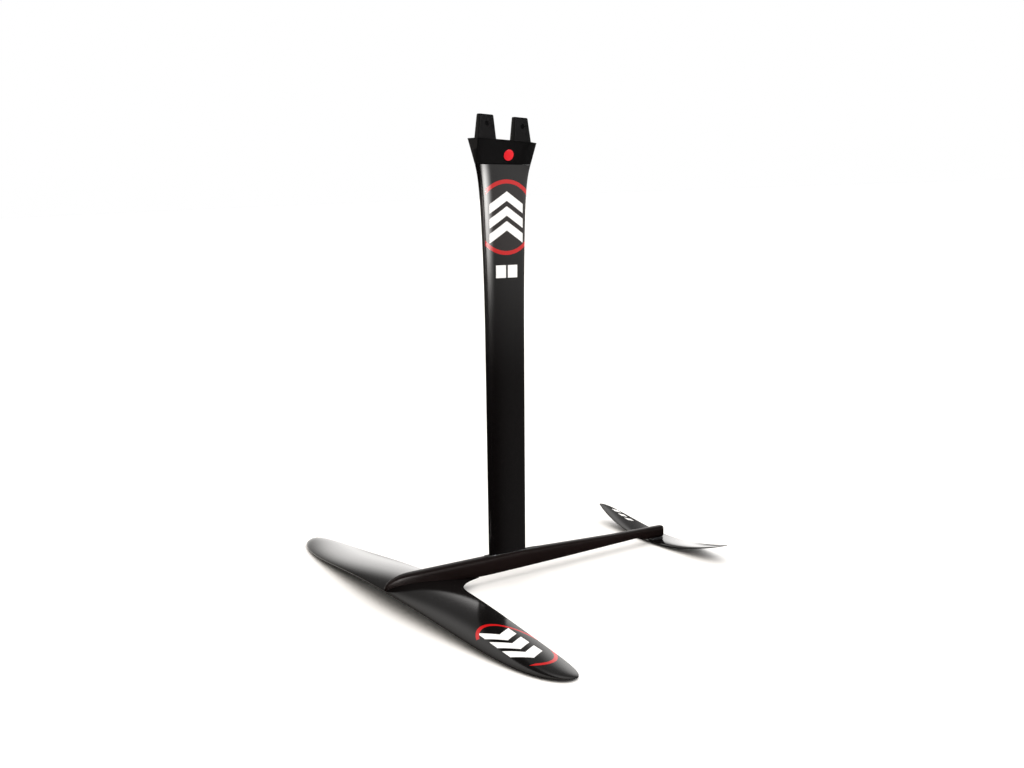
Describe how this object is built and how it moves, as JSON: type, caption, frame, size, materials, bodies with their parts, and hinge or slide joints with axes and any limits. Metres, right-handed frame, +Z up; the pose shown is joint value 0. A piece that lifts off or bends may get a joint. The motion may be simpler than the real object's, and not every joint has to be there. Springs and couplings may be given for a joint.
{
  "type": "hydrofoil mast wing",
  "caption": "Water-sports hydrofoil: flared carbon mast with a two-pronged head, slim fuselage, drooped front wing and upturned rear stabilizer.",
  "frame": {"origin": "under the middle of the whole foil's box, on the level of the front wing's lowest point", "axes": "+X to port along the front wing's span, +Y aft along the fuselage, +Z up the mast towards the board"},
  "size_m": [1.1502, 0.8086, 1.0568],
  "materials": {
    "gloss_carbon": "clear-coated carbon, polished, with a printed ring on each side near the top",
    "wing_carbon": "clear-coated carbon, polished",
    "foam": "closed-cell structural foam",
    "aluminium_block": "machined",
    "matt_moulding": "matt black moulding with a fine grain",
    "red_resin": "glossy domed resin",
    "black_steel": "black oxide",
    "stainless": "turned stainless steel",
    "anodised_aluminium": "black anodised with a brown cast, satin gloss",
    "rubber": "matt",
    "shim": "moulded nylon"
  },
  "bodies": {
    "foil": {"mast_port_skin": "gloss_carbon", "mast_starboard_skin": "gloss_carbon", "mast_foam_core": "foam", "mast_foot_block": "aluminium_block", "mast_head": "matt_moulding", "head_badge_port": "red_resin", "head_badge_starboard": "red_resin", "fuselage_body": "anodised_aluminium", "mast_seat_gasket": "rubber", "front_wing_upper_skin": "wing_carbon", "front_wing_lower_skin": "wing_carbon", "front_wing_core_port": "foam", "front_wing_core_starboard": "foam", "front_wing_root_block": "aluminium_block", "stabilizer": "wing_carbon", "stabilizer_shim": "shim", "foot_insert_front": "stainless", "foot_insert_middle": "stainless", "foot_insert_rear": "stainless", "fuselage_insert_front": "stainless", "fuselage_insert_middle": "stainless", "fuselage_insert_rear": "stainless", "tail_insert_front": "stainless", "tail_insert_rear": "stainless", "mast_screw_front": "stainless", "mast_screw_middle": "stainless", "mast_screw_rear": "stainless", "front_wing_screw_front": "stainless", "front_wing_screw_middle": "stainless", "front_wing_screw_rear": "stainless", "stabilizer_screw_front": "stainless", "stabilizer_screw_rear": "stainless"},
    "front_nut": {"front_barrel_nut": "black_steel"},
    "rear_nut": {"rear_barrel_nut": "black_steel"}
  },
  "joints": [
    {"name": "front_nut_turn", "type": "hinge", "parent": "foil", "child": "front_nut", "pos_m": [0, -0.1382, 1.0364], "axis": [1, 0, 0], "continuous": true},
    {"name": "rear_nut_turn", "type": "hinge", "parent": "foil", "child": "rear_nut", "pos_m": [0, -0.046, 1.0316], "axis": [1, 0, 0], "continuous": true}
  ]
}
